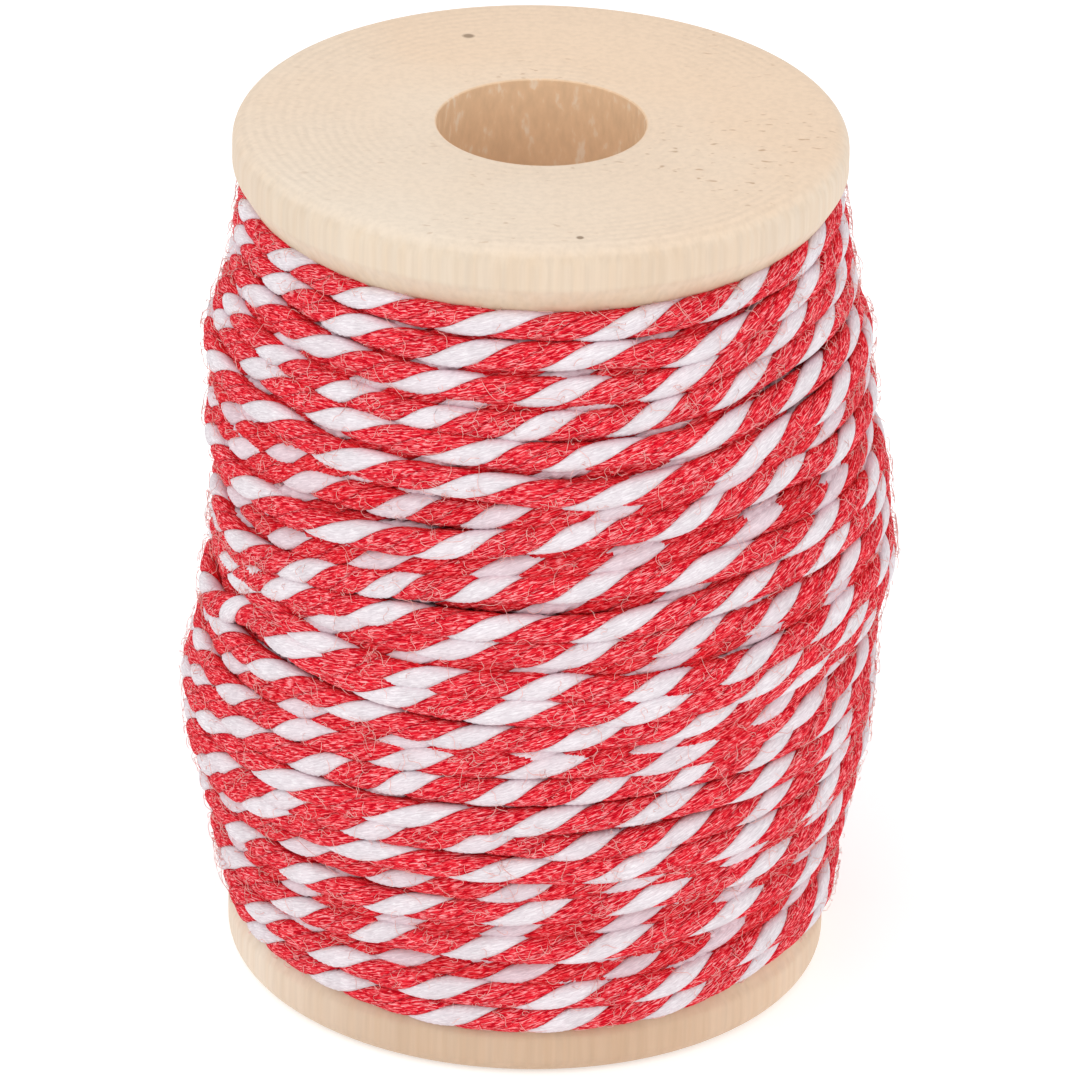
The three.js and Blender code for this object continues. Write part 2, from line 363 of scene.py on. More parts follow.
    # Pores: short brown dashes, in patches, mostly on the right, seen only on the end faces.
    dashes = add_node(tree, "Mapping", {"Vector": place, "Scale": (0.55, 1.0, 1.0)})
    pores = add_node(tree, "TexNoise", {"Vector": dashes, "Scale": 2000.0, "Detail": 1.0})
    pores = add_node(tree, "ValToRGB", (pores,), [(0.665, grey(0.0)), (0.76, grey(0.6))])
    patches = add_node(tree, "TexNoise", {"Vector": place, "Scale": 90.0, "Detail": 0.0})
    patches = add_node(tree, "ValToRGB", (patches,), [(0.4, grey(0.0)), (0.58, grey(1.0))])
    open_grain = add_node(tree, "MapRange", (x, -0.014, 0.004, 0.25, 1.0))
    for limit in (patches, end_face, open_grain):
        pores = add_node(tree, "Math", (pores, limit), **TIMES)
    base = add_node(tree, "Mix", {0: pores, 6: base, 7: linear(WOOD_PORE)}, **OVER)
    for knot_x, knot_y, wide, deep, share in KNOTS:
        shape = {
            "Vector": place,
            "Location": (knot_x * MM, knot_y * MM, spool.height),
            "Scale": (wide * MM, deep * MM, 0.4 * MM),
        }
        knot = add_node(tree, "Mapping", shape, vector_type="TEXTURE")
        away = add_node(tree, "VectorMath", (knot,), operation="LENGTH")
        inside = add_node(tree, "MapRange", (away, 0.6, 1.1, share, 0.0))
        base = add_node(tree, "Mix", {0: inside, 6: base, 7: linear(WOOD_KNOT)}, **OVER)
    # Painted shade inside the bore: a deeper, redder tone, as the bore's shade and the warm light
    # thrown about in it would give, with pale flecks drawn down it.
    level = add_node(tree, "VectorMath", (place, (1.0, 1.0, 0.0)), **TIMES)
    radius = add_node(tree, "VectorMath", (level,), operation="LENGTH")
    bore = spool.bore_diameter / 2
    inside = add_node(tree, "MapRange", (radius, bore + 0.02 * MM, bore + 0.2 * MM, 1.0, 0.0))
    drawn = add_node(tree, "Mapping", {"Vector": place, "Scale": (1.0, 1.0, 0.45)})
    flecks = add_node(tree, "TexNoise", {"Vector": drawn, "Scale": 1500.0, "Detail": 3.0})
    bore_shade_tone = Vector(spool.shaded_bore_wood)
    stops = [(0.3, [*(bore_shade_tone * 0.9), 1.0]), (0.58, [*bore_shade_tone, 1.0]), (0.7, linear(BORE_FLECK))]
    fleck_tone = add_node(tree, "ValToRGB", (flecks,), stops)
    base = add_node(tree, "Mix", {0: inside, 6: base, 7: fleck_tone}, **OVER)
    bump = add_node(tree, "Bump", {"Height": grain, "Strength": 0.12, "Distance": 0.1 * MM})
    surface = {"Base Color": base, "Roughness": 0.6, "Specular IOR Level": 0.25, "Normal": bump}
    shader = add_node(tree, "BsdfPrincipled", surface)
    add_node(tree, "OutputMaterial", (shader,))
    return material


def ply_tones(colour, light, gap_shade):
    """Four tones of a ply, from the painted shade in the gaps between its fibres to the painted
    highlight on the fibres that catch the light.
    """
    colour, light = Vector(colour), Vector(light)
    return [[*tone, 1.0] for tone in (colour * gap_shade, colour, colour.lerp(light, 0.2), light)]


def ply_material(name, tones, shade_cast, sheen, relief):
    """Soft spun cotton: short wavy fibre lines along the ply, from the painted shade between the
    fibres to the painted highlight of the fibres which catch the light, with a slow drift of the
    dye."""
    material, tree = new_material(name)
    along = add_node(tree, "UVMap", uv_map="twine")
    # Fibre lines about 0.1 mm apart and 0.7 mm long, drawn coarser than real cotton.
    stretched = add_node(tree, "VectorMath", (along, (1500.0, 9500.0, 0.0)), **TIMES)
    spun = {"Vector": stretched, "Scale": 1.0, "Detail": 2.0, "Roughness": 0.6, "Distortion": 0.6}
    lines = add_node(tree, "TexNoise", spun, noise_dimensions="2D")
    base = add_node(tree, "ValToRGB", (lines,), list(zip((0.39, 0.47, 0.56, 0.66), tones)))
    # The dye drifts over about 2 mm.
    place = add_node(tree, "TexCoord").outputs["Object"]
    drift = add_node(tree, "TexNoise", {"Vector": place, "Scale": 420.0, "Detail": 2.0})
    drift_tone = add_node(tree, "ValToRGB", (drift,), [(0.3, grey(0.9)), (0.65, grey(1.0))])
    base = add_node(tree, "Mix", {0: 1.0, 6: base, 7: drift_tone}, **TINT)
    # Painted shade with a red cast: between the turns, where the neighbours shelter a ply, its
    # colour is painted darker and redder, as light that has passed through red cotton would leave
    # it.
    shelter = add_node(tree, "Attribute", attribute_name="shelter").outputs["Fac"]
    base = add_node(tree, "Mix", {0: shelter, 6: base, 7: linear(shade_cast)}, **TINT)
    bump = add_node(tree, "Bump", {"Height": lines, "Strength": relief, "Distance": 0.12 * MM})
    surface = {
        "Base Color": base,
        "Roughness": 0.95,
        "Specular IOR Level": 0.04,
        "Sheen Weight": sheen,
        "Sheen Roughness": 0.6,
        "Sheen Tint": tones[-1],
        "Normal": bump,
    }
    shader = add_node(tree, "BsdfPrincipled", surface)
    add_node(tree, "OutputMaterial", (shader,))
    return material


def fibre_material(colour):
    """Loose cotton fibres: so thin that light passes through, so they look paler than the twine."""
    material, tree = new_material("loose cotton fibre")
    diffuse = add_node(tree, "BsdfDiffuse", {"Color": [*colour, 1.0]})
    through = add_node(tree, "BsdfTranslucent", {"Color": [*colour, 1.0]})
    both = add_node(tree, "MixShader", (0.35, diffuse, through))
    add_node(tree, "OutputMaterial", (both,))
    return material


def floor_material():
    """White paper lit from both sides, so that shadows on it stay faint."""
    material, tree = new_material("white paper")
    diffuse = add_node(tree, "BsdfDiffuse", {"Color": grey(0.7)})
    glow = add_node(tree, "Emission", {"Color": grey(1.0), "Strength": 0.45})
    both = add_node(tree, "AddShader", (diffuse, glow))
    add_node(tree, "OutputMaterial", (both,))
    return material


def finish_piece(piece, material):
    """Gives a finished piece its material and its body."""
    piece.data.materials.clear()
    piece.data.materials.append(material)
    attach(piece, "root")


def smooth_through(places, values, at):
    """A smooth curve through rising places and their values, flat past both ends."""
    places = np.asarray(places, float)
    values = np.asarray(values, float)
    before = np.maximum(np.arange(len(places)) - 1, 0)
    after = np.minimum(np.arange(len(places)) + 1, len(places) - 1)
    slope = (values[after] - values[before]) / (places[after] - places[before])
    at = np.clip(at, places[0], places[-1])
    i = np.clip(np.searchsorted(places, at, side="right") - 1, 0, len(places) - 2)
    span = places[i + 1] - places[i]
    t = (at - places[i]) / span
    ease = t * t * (3 - 2 * t)
    leave = t * (1 - t) ** 2 * span * slope[i]
    arrive = t * t * (t - 1) * span * slope[i + 1]
    return values[i] + (values[i + 1] - values[i]) * ease + leave + arrive


def wound_radius(turned, height):
    """Radius over the crests, in mm, at an angle in degrees right of the front."""
    heights, *sides = np.array(WOUND_FORM, float).T
    left, front, right, back = (smooth_through(heights, side, height) for side in sides)
    angle = np.radians(np.asarray(turned) + 90)
    mean = (left + front + right + back) / 4
    across = (left - right) / 2 * np.cos(angle)
    along = (front - back) / 2 * np.sin(angle)
    oval = (left - front + right - back) / 4 * np.cos(2 * angle)
    return mean + across + along + oval


def blurred(values, width):
    """A running mean weighted by a bell of that width, in samples."""
    reach = int(3 * width)
    bell = np.exp(-0.5 * (np.arange(-reach, reach + 1) / width) ** 2)
    padded = np.pad(values, reach, mode="edge")
    return np.convolve(padded, bell / bell.sum(), mode="valid")


class Bed:
    """The radius of all that is laid so far, by half degrees round and tenths of a mm up."""

    COLUMNS = 720
    STEP = 0.1
    TOP = 67
    DEPTH = 2.2  # of the wound form's core under the crests of the under layer
    BEDDED = 0.4  # how far twine sinks into the slope of a flange

    def __init__(self, spool, drop):
        self.heights = np.arange(0, self.TOP, self.STEP)
        turned = np.arange(self.COLUMNS) * 360 / self.COLUMNS
        form = wound_radius(turned[:, None], self.heights[None, :])
        flange = self.flange(spool)
        self.radius = np.maximum(form - drop - self.DEPTH, flange[None, :])

    def flange(self, spool):
        """Radius of the wood's flanges at each height, a little less so that the twine beds in."""
        rim = spool.flange_diameter / MM / 2
        straight = spool.rim_height / MM
        bevel = spool.bevel_height / MM
        slope = spool.bevel_depth / spool.bevel_height
        gap_shade = np.minimum(self.heights, spool.height / MM - self.heights)
        cone = rim - np.clip(gap_shade - straight, 0, bevel) * slope
        return np.where(gap_shade < straight + bevel, cone - self.BEDDED, 0)

    def window(self, first, height, radius):
        """Columns, rows and reach of the bed under a strand that starts at a column."""
        reach = int(radius / self.STEP)
        offsets = np.arange(-reach, reach + 1)
        columns = (first + np.arange(len(height))) % self.COLUMNS
        rows = np.rint(height / self.STEP).astype(int)[:, None] + offsets
        rows = np.clip(rows, 0, len(self.heights) - 1)
        away = self.heights[rows] - height[:, None]
        rise = np.sqrt(np.maximum(radius**2 - away**2, 0))
        return columns[:, None], rows, rise

    def rest(self, first, height, radius):
        """Radius at which a strand's centre rests on the bed."""
        columns, rows, rise = self.window(first, height, radius)
        return (self.radius[columns, rows] + rise).max(axis=1)

    def lay(self, first, height, centre, radius):
        """Adds a strand to the bed."""
        columns, rows, rise = self.window(first, height, radius)
        self.radius[columns, rows] = np.maximum(self.radius[columns, rows], centre[:, None] + rise)

    def bridged(self):
        """A copy whose grooves are filled, as a fibre that spans them sees it."""
        copy = object.__new__(Bed)
        copy.heights = self.heights
        spanned = self.radius
        for shift in (-3, -2, -1, 1, 2, 3):
            spanned = np.maximum(spanned, np.roll(self.radius, shift, 1))
        copy.radius = (spanned + np.roll(spanned, 3, 1) + np.roll(spanned, -3, 1)) / 3
        return copy

    def at(self, turned, height):
        """Radius of the bed at angles in degrees and heights in mm."""
        columns = np.rint(turned * self.COLUMNS / 360).astype(int) % self.COLUMNS
        rows = np.clip(np.rint(height / self.STEP).astype(int), 0, len(self.heights) - 1)
        return self.radius[columns, rows]


class Strand:
    """The centre line of a wound length of twine in mm, with the directions out, up and ahead, the
    turn of its plies, and how far other turns cover it along its length, from 0 to 1."""

    UNEVEN = 0.018  # hand-spun unevenness of its thickness
    SWELLS = (5.9, 9.7, 2.3)  # lengths of the waves of that, for each radian

    def __init__(self, turned, height, radius, lead, whites, step, cover):
        angle = np.radians(turned)
        line = np.stack([radius * np.sin(angle), -radius * np.cos(angle), height], axis=1)
        length = np.concatenate([[0], np.cumsum(np.linalg.norm(np.diff(line, axis=0), axis=1))])
        self.count = int(length[-1] / step)
        self.length = np.linspace(0, length[-1], self.count)
        self.turned = np.interp(self.length, length, turned)
        self.cover = np.interp(self.length, length, cover)
        self.line = np.stack([np.interp(self.length, length, line[:, c]) for c in range(3)], axis=1)
        angle = np.radians(self.turned)
        out = np.stack([np.sin(angle), -np.cos(angle), np.zeros(self.count)], axis=1)
        self.ahead = np.gradient(self.line, axis=0)
        self.ahead /= np.linalg.norm(self.ahead, axis=1)[:, None]
        out -= self.ahead * (out * self.ahead).sum(axis=1)[:, None]
        self.out = out / np.linalg.norm(out, axis=1)[:, None]
        self.up = np.cross(self.out, self.ahead)
        swell = sum(np.sin(self.length / wave + i) for i, wave in enumerate(self.SWELLS))
        self.girth = 1 + self.UNEVEN * swell
        self.phase = self.length / lead * TAU
        # Between two white places the plies make a whole number of twists.
        if whites:
            stations = np.interp(whites, turned, length)
            leads = np.maximum(1, np.rint(np.diff(stations) / lead))
            phases = np.concatenate([[0], np.cumsum(leads)]) * TAU
            before = phases[0] - (stations[0] - self.length[0]) / lead * TAU
            after = phases[-1] + (self.length[-1] - stations[-1]) / lead * TAU
            places = np.concatenate([[self.length[0]], stations, [self.length[-1]]])
            self.phase = np.interp(self.length, places, np.concatenate([[before], phases, [after]]))


def outer_path():
    """Angle and height of the outer layer's centre line, which climbs as one helix from the back,
    and the angles along it where the white ply faces out."""
    whites, places, heights = [], [], []
    for turn, row in enumerate(OUTER_TURNS):
        whites += [turn * 360.0 + place[0] for place in row[1:] if len(place) == 2]
        places += [turn * 360.0 + place[0] for place in row[1:]]
        heights += [place[1] for place in row[1:]]
    places = [-180.0] + places + [len(OUTER_TURNS) * 360 - 180.0]
    heights = [heights[0]] + heights + [heights[-1]]
    turned = np.arange(places[0], places[-1], 360 / Bed.COLUMNS)
    height = smooth_through(places, heights, turned)
    height += sum(size * np.sin(turned / wave + start) for size, wave, start in WANDER)
    return turned, height, whites


def wind(spool, twine):
    """Lays the under layer and the outer layer. Returns both strands and the bed."""
    radius = twine.diameter / MM / 2
    drop = twine.layer_drop / MM
    lead = twine.lead / MM
    bed = Bed(spool, drop)
    per_turn = Bed.COLUMNS
    half_turn = per_turn // 2

    # The layer under the outer one winds back down, so it leans the other way.
    turned = np.arange(-180.0, UNDER_TURNS * 360 - 180.0, 360 / per_turn)
    share = (turned + 180) / (UNDER_TURNS * 360)
    lean = UNDER_LEAN * np.sin(np.radians(turned)) * np.sin(math.pi * share)
    height = UNDER_START - UNDER_FALL * share + lean
    centre = wound_radius(turned, height) - drop - radius
    for turn in range(UNDER_TURNS):
        part = slice(turn * per_turn, (turn + 1) * per_turn)
        bed.lay(half_turn, height[part], centre[part], radius)
    cover = np.full(len(turned), UNDER_COVER)
    under = Strand(turned, height, centre, lead, None, UNDER_STEP, cover)

    # The outer turns rest on it, those that lie under their neighbours first.
    turned, height, whites = outer_path()
    centre = np.zeros(len(turned))
    order = sorted(range(len(OUTER_TURNS)), key=lambda turn: (-OUTER_TURNS[turn][0], turn))
    for turn in order:
        part = slice(turn * per_turn, (turn + 1) * per_turn)
        contact = bed.rest(half_turn, height[part], radius)
        taut = contact
        for _ in range(TAUT_ROUNDS):
            taut = np.maximum(contact - PRESSED, blurred(taut, TAUT_SPAN))
        taut = blurred(taut, TURN_SPAN)
        # Soft twine gives way, so no turn rises far past the wound form.
        aim = wound_radius(turned[part], height[part]) - radius * FLATNESS[0]
        sunk = OUTER_TURNS[turn][0]
        lowest, highest = -BELOW[0] - BELOW[1] * sunk, ABOVE[0] - ABOVE[1] * sunk
        centre[part] = aim + np.clip(taut - aim, lowest, highest)
        bed.lay(half_turn, height[part], centre[part], radius)
    centre = blurred(centre, STRAND_SPAN)
    # Both ends are tucked under their neighbours.
    tuck = np.clip(1 - np.minimum(turned - turned[0], turned[-1] - turned) / TUCK_ANGLE, 0, 1)
    centre -= TUCK_DEPTH * tuck**2
    cover = SUNK_COVER * np.repeat([max(row[0], 0) for row in OUTER_TURNS], per_turn)
    outer = Strand(turned, height, centre, lead, whites, OUTER_STEP, blurred(cover, COVER_SPAN))
    return under, outer, bed


def twine_section(angle):
    """Radius of the twine's section, as a share of its own, at degrees from the middle of the white
    ply. The white ply is plump; the two red ones run together with hardly a groove between them."""
    angle = np.abs(np.asarray(angle, float))
    white = GROOVE + WHITE_SWELL * np.sqrt(np.maximum(1 - (angle / WHITE_HALF) ** 2, 0))
    share = np.clip((angle - WHITE_HALF) / (180 - WHITE_HALF), 0, 1)
    rise = np.sqrt(1 - (1 - np.minimum(share / RED_SHOULDER, 1)) ** 2)
    past = np.maximum((share - RED_SHOULDER) / (1 - RED_SHOULDER), 0)
    red = GROOVE + RED_SWELL * rise - RED_MEETING * past**2
    return np.where(angle <= WHITE_HALF, white, red)


def ply_mesh(name, strand, radius, ply, outer_points):
    """One twisted ply of a strand as a closed tube with its own twine map. Lengths in mm."""
    edges = {
        "white": (-WHITE_HALF, WHITE_HALF),
        "first": (WHITE_HALF, 180),
        "second": (-180, -WHITE_HALF),
    }
    start, end = edges[ply]
    outer = np.linspace(start + PLY_SEAM, end - PLY_SEAM, outer_points)
    middle = (start + end) / 2
    angle = np.radians(np.concatenate([outer, [middle]]))
    share = np.concatenate([twine_section(outer), [PLY_CORE]])
    sides = len(angle)
    count = strand.count
    around = strand.phase[:, None] + angle[None, :]
    reach = (radius * strand.girth)[:, None, None] * share[None, :, None]
    points = strand.line[:, None, :] + reach * (
        FLATNESS[0] * np.cos(around)[:, :, None] * strand.out[:, None, :]
        + FLATNESS[1] * np.sin(around)[:, :, None] * strand.up[:, None, :]
    )
    points = points.reshape(-1, 3) * MM
    ring = np.arange(count - 1)[:, None] * sides
    side = np.arange(sides)[None, :]
    after = (side + 1) % sides
    faces = np.stack([ring + side, ring + after, ring + sides + after, ring + sides + side], axis=2)
    faces = faces.reshape(-1, 4)
    mesh = bpy.data.meshes.new(name)
    ends = [tuple(range(sides - 1, -1, -1)), tuple(range((count - 1) * sides, count * sides))]
    mesh.from_pydata(points.tolist(), [], faces.tolist() + ends)
    # The twine map runs along the strand and round it, its lines a little flatter than the plies.
    u = np.broadcast_to(strand.length[:, None], around.shape)
    v = (angle[None, :] + FIBRE_TWIST * strand.phase[:, None]) * radius
    flat = np.stack([u, v], axis=2)
    beside = np.roll(flat, -1, axis=1)
    corners = np.stack([flat[:-1], beside[:-1], beside[1:], flat[1:]], axis=2)
    uv = corners.reshape(-1, 2) * MM
    uv = np.concatenate([uv, np.zeros((2 * sides, 2))])
    layer = mesh.uv_layers.new(name="twine")
    layer.data.foreach_set("uv", uv.astype(np.float32).ravel())
    # How far a point is turned away from the outside, where its neighbours shelter it, and no less
    # than they cover the strand. This sets how far the plies are painted in shade.
    shelter = np.clip((SHELTER_FROM - np.cos(around)) / SHELTER_SPAN, strand.cover[:, None], 1)
    attribute = mesh.attributes.new("shelter", "FLOAT", "POINT")
    attribute.data.foreach_set("value", shelter.astype(np.float32).ravel())
    mesh.polygons.foreach_set("use_smooth", np.ones(len(mesh.polygons), bool))
    mesh.update()
    piece = bpy.data.objects.new(name, mesh)
    bpy.context.scene.collection.objects.link(piece)
    return piece


def joined(name, pieces):
    """Several pieces as one."""
    bpy.ops.object.select_all(action="DESELECT")
    for piece in pieces:
        piece.select_set(True)
    bpy.context.view_layer.objects.active = pieces[0]
    bpy.ops.object.join()
    pieces[0].name = name
    pieces[0].data.name = name
    return pieces[0]


class MESH_OT_turned_spool(bpy.types.Operator):
    """Turn the wooden spool: a profile of its half section, rounded and spun about its axis"""

    bl_idname = "mesh.turned_spool"
    bl_label = "Turned spool"

    FACETS = 144
    EDGE_ROUND = 0.22 * MM  # of the bore's edges and the corners between rim and bevel
    SHARP = math.radians(24)
    CLOSE = 0.02 * MM  # how near a corner is to its place

    def execute(self, context):
        spool = context.scene.twine_spool
        bore = spool.bore_diameter / 2
        rim = spool.flange_diameter / 2
        barrel = spool.barrel_diameter / 2
        if not 0 < bore < barrel < rim - spool.bevel_depth:
            raise ValueError("The barrel must be wider than the bore and narrower than the flanges")
        if spool.height <= 2 * max(spool.flange_root, spool.rim_height + spool.bevel_height):
            raise ValueError("The spool must be taller than its two flanges")
        bevel_end = spool.rim_height + spool.bevel_height
        half = [
            (bore, 0.0),
            (rim, 0.0),
            (rim, spool.rim_height),
            (rim - spool.bevel_depth, bevel_end),
            (barrel, spool.flange_root),
        ]
        outline = half + [(r, spool.height - d) for r, d in reversed(half)]
        bpy.ops.object.select_all(action="DESELECT")
        bpy.ops.mesh.primitive_plane_add(size=2 * MM, location=(0, 0, 0))
        piece = context.object
        piece.name = piece.data.name = "turned_spool"
        bpy.ops.object.mode_set(mode="EDIT")
        bpy.ops.mesh.select_all(action="SELECT")
        bpy.ops.mesh.merge(type="CENTER")
        bpy.ops.transform.translate(value=(outline[0][0], 0, outline[0][1]))
        stops = outline[1:] + [outline[0]]
        last = outline[0]
        for stop in stops:
            move = (stop[0] - last[0], 0, stop[1] - last[1])
            bpy.ops.mesh.extrude_region_move(TRANSFORM_OT_translate={"value": move})
            last = stop
        bpy.ops.mesh.select_all(action="SELECT")
        bpy.ops.mesh.remove_doubles(threshold=0.01 * MM)
        self.round_corners(piece, rim, 0, spool.height, spool.rim_round, 8)
        self.round_corners(piece, rim, spool.rim_height, spool.height, self.EDGE_ROUND, 3)
        self.round_corners(piece, bore, 0, spool.height, self.EDGE_ROUND, 3)
        bpy.ops.mesh.select_all(action="SELECT")
        bpy.ops.mesh.spin(steps=self.FACETS, angle=TAU, center=(0, 0, 0), axis=(0, 0, 1))
        bpy.ops.mesh.select_all(action="SELECT")
        bpy.ops.mesh.remove_doubles(threshold=0.005 * MM)
        bpy.ops.mesh.normals_make_consistent(inside=False)
        bpy.ops.object.mode_set(mode="OBJECT")
        bpy.ops.object.shade_smooth_by_angle(angle=self.SHARP)
        finish_piece(piece, wood_material(spool))
        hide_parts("spool")
        return {"FINISHED"}

    def round_corners(self, piece, radius, gap_shade, height, size, segments):
        """Rounds the two corners of the profile at a radius and a depth from the end faces."""
        bpy.ops.mesh.select_all(action="DESELECT")
        bpy.ops.object.mode_set(mode="OBJECT")
        for vertex in piece.data.vertices:
            near = abs(vertex.co.x - radius) < self.CLOSE
            inward = min(vertex.co.z, height - vertex.co.z)
            vertex.select = near and abs(inward - gap_shade) < self.CLOSE
        bpy.ops.object.mode_set(mode="EDIT")
        bpy.ops.mesh.bevel(offset=size, offset_type="OFFSET", segments=segments, affect="VERTICES")


class MESH_OT_wound_twine(bpy.types.Operator):
    """Wind the twine: two red plies and a white one, in an under layer and an outer layer"""

    bl_idname = "mesh.wound_twine"
    bl_label = "Wound twine"

    def execute(self, context):
        twine = context.scene.twine_twine
        if not 0 < twine.diameter < twine.lead:
            raise ValueError("The twine must have a thickness, and a longer twist than that")
        under, outer, _ = wind(context.scene.twine_spool, twine)
        radius = twine.diameter / MM / 2
        red_tones = ply_tones(twine.red, twine.red_light, gap_shade=0.6)
        white_tones = ply_tones(twine.white, twine.white_light, gap_shade=0.91)
        red = ply_material("red cotton ply", red_tones, RED_SHADE_CAST, sheen=0.05, relief=0.6)
        white = ply_material("white cotton ply", white_tones, WHITE_SHADE_CAST, sheen=0.08, relief=0.3)
        for name, ply, points, material, slot in (
            ("twine_white_ply", "white", 8, white, "twine_white"),
            ("twine_red_ply_1", "first", 7, red, "twine_red"),
            ("twine_red_ply_2", "second", 7, red, "twine_red"),
        ):
            piece = ply_mesh(name, outer, radius, ply, points)
            finish_piece(piece, material)
            if ply == "first":
                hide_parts("winding")
        plies = ("white", "first", "second")
        under_white, *under_red = [ply_mesh("hidden_ply", under, radius, ply, 5) for ply in plies]
        finish_piece(joined("under_twine_red", under_red), red)
        under_white.name = under_white.data.name = "under_twine_white"
        finish_piece(under_white, white)
        return {"FINISHED"}


class MESH_OT_stray_fibres(bpy.types.Operator):
    """Raise fine curled fibres off the outer turns of the twine"""

    bl_idname = "mesh.stray_fibres"
    bl_label = "Stray fibres"

    SIDES = 3
    RINGS = 7
    TIP = 0.35  # share of its thickness at the end of a fibre
    ENDS = 20  # points at both ends of the strand that keep free of fibres
    LEAN = 1.2  # how far from straight out a fibre starts, in radians
    WHITE_EDGE = 6  # degrees of the white ply, at its edges, that count as red
    ON_WHITE = 0.12  # share of the fibres kept on the white ply
    ROOT = 0.93  # share of the twine's radius at which a fibre starts
    SPREAD = (0.2, 0.45)  # mean and deviation of the logarithm of a length in mm
    LENGTHS = (0.5, 3.0)  # shortest and longest, in mm
    BEND = 2.2  # deviation of the bend from end to end, in radians
    CURL = 0.9  # and of the curl to and fro
    HEIGHTS = (4.2, 61.4)  # in mm, clear of both flanges
    LIFT = (0.015, 0.035)  # least and mean further height over the twine, in mm
    ASIDE = (0.31, 0.52, 0.79)  # any direction, to set a fibre's section by

    def execute(self, context):
        twine = context.scene.twine_twine
        _, outer, bed = wind(context.scene.twine_spool, twine)
        radius = twine.diameter / MM / 2
        chance = np.random.default_rng(twine.seed)
        count = twine.fibre_count
        # Most fibres stand off the red plies.
        at = chance.integers(self.ENDS, outer.count - self.ENDS, 3 * count)
        lean = chance.uniform(-self.LEAN, self.LEAN, 3 * count)
        from_white = (lean - outer.phase[at] + math.pi) % TAU - math.pi
        on_red = np.abs(from_white) > math.radians(WHITE_HALF - self.WHITE_EDGE)
        kept = on_red | (chance.random(3 * count) < self.ON_WHITE)
        at, lean = at[kept][:count], lean[kept][:count]
        count = len(at)
        if count == 0:
            raise ValueError("There must be at least one stray fibre")
        start = outer.line[at] + radius * self.ROOT * (
            np.cos(lean)[:, None] * outer.out[at] + np.sin(lean)[:, None] * outer.up[at]
        )
        turned = np.degrees(np.arctan2(start[:, 0], -start[:, 1]))
        reach = np.hypot(start[:, 0], start[:, 1])
        length = np.clip(chance.lognormal(*self.SPREAD, count), *self.LENGTHS)
        heading = chance.uniform(0, TAU, count)
        bend = chance.normal(0, self.BEND, count)
        curl = chance.normal(0, self.CURL, count)
        wave = chance.uniform(0, TAU, count)
        lift = self.LIFT[0] + chance.exponential(self.LIFT[1], count)
        share = np.linspace(0, 1, self.RINGS)
        waves = np.sin(TAU * share + wave[:, None])
        way = heading[:, None] + bend[:, None] * share + curl[:, None] * waves
        step = (length / (self.RINGS - 1))[:, None]
        side = np.cumsum(np.cos(way) * step, axis=1)
        climb = np.cumsum(np.sin(way) * step, axis=1)
        angle = turned[:, None] + np.degrees(side / reach[:, None])
        height = np.clip(start[:, 2][:, None] + climb, *self.HEIGHTS)
        rise = lift[:, None] * np.sin(math.pi * (0.1 + 0.8 * share))[None, :]
        away = bed.bridged().at(angle, height) + rise
        away[:, 0] = reach
        turn = np.radians(angle)
        line = np.stack([away * np.sin(turn), -away * np.cos(turn), height], axis=2)
        piece = self.fibre_mesh(line, twine.fibre_diameter / MM / 2)
        finish_piece(piece, fibre_material(twine.fibre))
        return {"FINISHED"}

    def fibre_mesh(self, line, radius):
        """Thin tubes along the fibres' centre lines, joined as one mesh."""
        ahead = np.gradient(line, axis=1)
        ahead /= np.linalg.norm(ahead, axis=2, keepdims=True)
        across = np.cross(ahead, self.ASIDE)
        across /= np.linalg.norm(across, axis=2, keepdims=True)
        over = np.cross(ahead, across)
        angle = np.arange(self.SIDES) * TAU / self.SIDES
        taper = np.ones(self.RINGS)
        taper[-1] = self.TIP
        across, over = across[:, :, None, :], over[:, :, None, :]
        ring = np.cos(angle)[:, None] * across + np.sin(angle)[:, None] * over
        points = line[:, :, None, :] + radius * taper[None, :, None, None] * ring
        points = points.reshape(-1, 3) * MM
        first = np.arange(len(line))[:, None, None] * self.RINGS * self.SIDES
        first = first + np.arange(self.RINGS - 1)[None, :, None] * self.SIDES
        side = np.arange(self.SIDES)[None, None, :]
        after = (side + 1) % self.SIDES
        further = first + self.SIDES
        faces = [first + side, first + after, further + after, further + side]
        faces = np.stack(faces, axis=3).reshape(-1, 4)
        base = np.arange(len(line))[:, None] * self.RINGS * self.SIDES
        near = base + np.array([[2, 1, 0]])
        far = base + (self.RINGS - 1) * self.SIDES + np.array([[0, 1, 2]])
        mesh = bpy.data.meshes.new("stray_fibres")
        mesh.from_pydata(points.tolist(), [], faces.tolist() + near.tolist() + far.tolist())
        mesh.polygons.foreach_set("use_smooth", np.ones(len(mesh.polygons), bool))
        mesh.update()
        piece = bpy.data.objects.new("stray_fibres", mesh)
        bpy.context.scene.collection.objects.link(piece)
        return piece


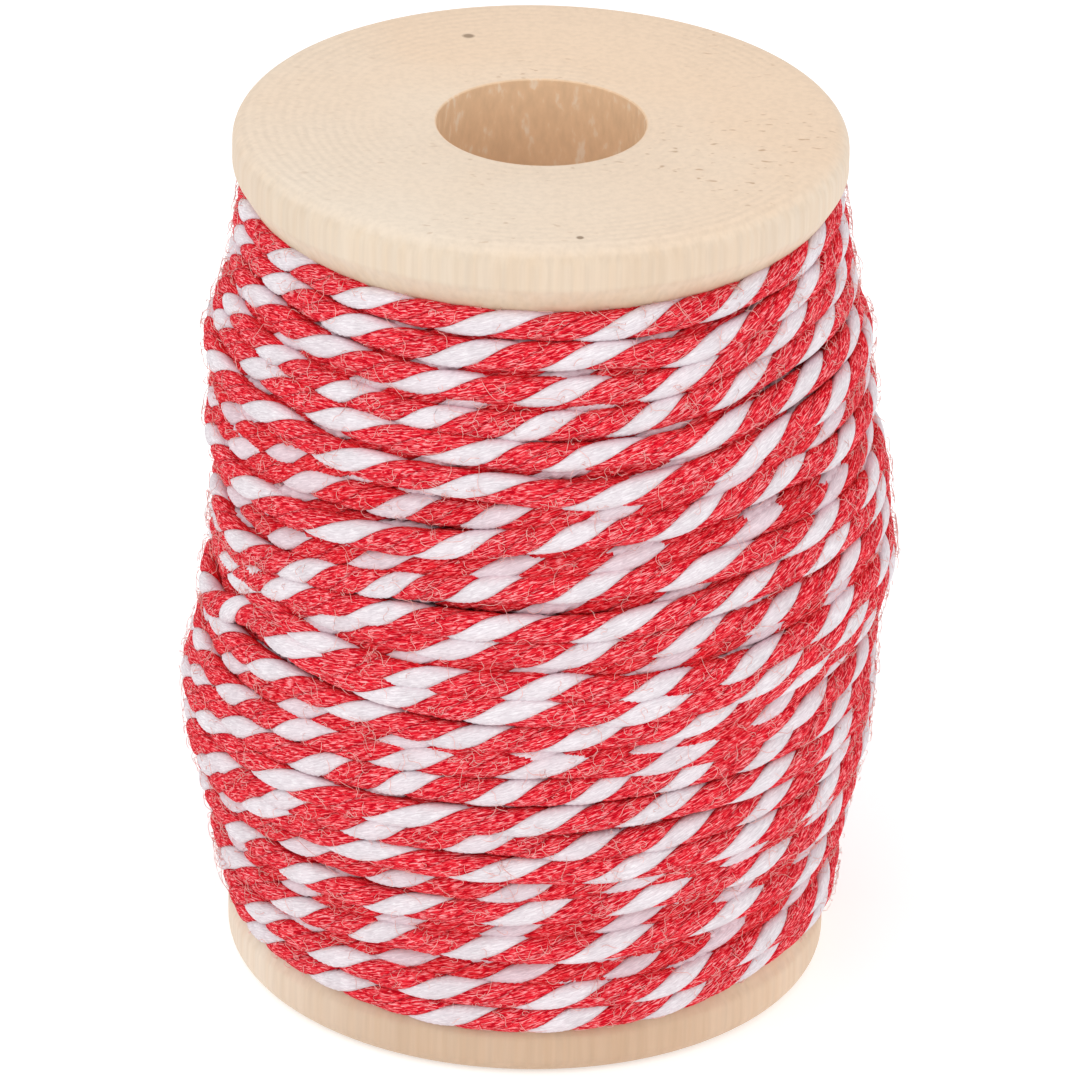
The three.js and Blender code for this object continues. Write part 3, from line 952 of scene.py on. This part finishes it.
class OBJECT_OT_twine_stage(bpy.types.Operator):
    """Set a plain white floor, soft studio light and the camera"""

    bl_idname = "object.twine_stage"
    bl_label = "Stage"

    SKY = 0.85  # strength of the even light all round
    AIM = (0, 0, 0.033)  # the middle of the spool

    def execute(self, context):
        stage = context.scene.twine_stage
        bpy.ops.object.select_all(action="DESELECT")
        bpy.ops.mesh.primitive_plane_add(size=6, location=(0, 0, 0))
        floor = context.object
        floor.name = floor.data.name = "floor"
        floor.data.materials.append(floor_material())
        world = bpy.data.worlds.new("soft white")
        world.use_nodes = True
        background = world.node_tree.nodes["Background"]
        background.inputs["Color"].default_value = grey(1.0)
        background.inputs["Strength"].default_value = self.SKY
        context.scene.world = world
        self.add_light("key", (-0.35, -0.55, 0.95), size=1.0, power=4.0)
        self.add_light("fill", (0.8, -0.6, 0.6), size=1.0, power=1.6)
        context.scene.view_settings.view_transform = "Standard"
        self.add_camera(context, stage)
        return {"FINISHED"}

    def add_light(self, name, place, size, power):
        """A square soft light that faces the middle of the spool."""
        bpy.ops.object.light_add(type="AREA", location=place)
        light = bpy.context.object
        light.name = light.data.name = name
        light.data.size = size
        light.data.energy = power
        aim = Vector(self.AIM) - Vector(place)
        light.rotation_euler = aim.to_track_quat("-Z", "Y").to_euler()

    def add_camera(self, context, stage):
        """The camera, from its place, pitch and roll."""
        pitch, roll = stage.camera_pitch, stage.camera_roll
        ahead = Vector((0, math.cos(pitch), -math.sin(pitch)))
        level, upright = Vector((1, 0, 0)), Vector((0, math.sin(pitch), math.cos(pitch)))
        right = math.cos(roll) * level + math.sin(roll) * upright
        up = -math.sin(roll) * level + math.cos(roll) * upright
        bpy.ops.object.camera_add()
        camera = context.object
        camera.name = camera.data.name = "camera"
        turn = Matrix((right, up, -ahead)).transposed().to_4x4()
        camera.matrix_world = Matrix.Translation(stage.camera_place) @ turn
        camera.data.sensor_width = 36
        camera.data.lens = stage.focal_length
        camera.data.clip_start = 0.05
        camera.data.dof.use_dof = False
        context.scene.camera = camera


class VIEW3D_PT_twine(bpy.types.Panel):
    """Sizes and the steps that build the spool of twine"""

    bl_idname = "VIEW3D_PT_twine"
    bl_label = "Spool of twine"
    bl_space_type = "VIEW_3D"
    bl_region_type = "UI"
    bl_category = "Twine"

    def draw(self, context):
        layout = self.layout
        scene = context.scene
        for label, settings, operators in (
            ("Spool", scene.twine_spool, (MESH_OT_turned_spool,)),
            ("Twine", scene.twine_twine, (MESH_OT_wound_twine, MESH_OT_stray_fibres)),
            ("Stage", scene.twine_stage, (OBJECT_OT_twine_stage,)),
        ):
            box = layout.box()
            box.label(text=label)
            for name in settings.__annotations__:
                box.prop(settings, name)
            for operator in operators:
                box.operator(operator.bl_idname)


CLASSES = (
    SpoolSettings,
    TwineSettings,
    StageSettings,
    MESH_OT_turned_spool,
    MESH_OT_wound_twine,
    MESH_OT_stray_fibres,
    OBJECT_OT_twine_stage,
    VIEW3D_PT_twine,
)


def register():
    for cls in CLASSES:
        bpy.utils.register_class(cls)
    bpy.types.Scene.twine_spool = PointerProperty(type=SpoolSettings)
    bpy.types.Scene.twine_twine = PointerProperty(type=TwineSettings)
    bpy.types.Scene.twine_stage = PointerProperty(type=StageSettings)


def unregister():
    del bpy.types.Scene.twine_stage
    del bpy.types.Scene.twine_twine
    del bpy.types.Scene.twine_spool
    for cls in reversed(CLASSES):
        bpy.utils.unregister_class(cls)


def main():
    register()
    bpy.ops.mesh.turned_spool()
    bpy.ops.mesh.wound_twine()
    bpy.ops.mesh.stray_fibres()
    bpy.ops.object.twine_stage()
    bpy.context.view_layer.update()


if __name__ == "__main__":
    main()
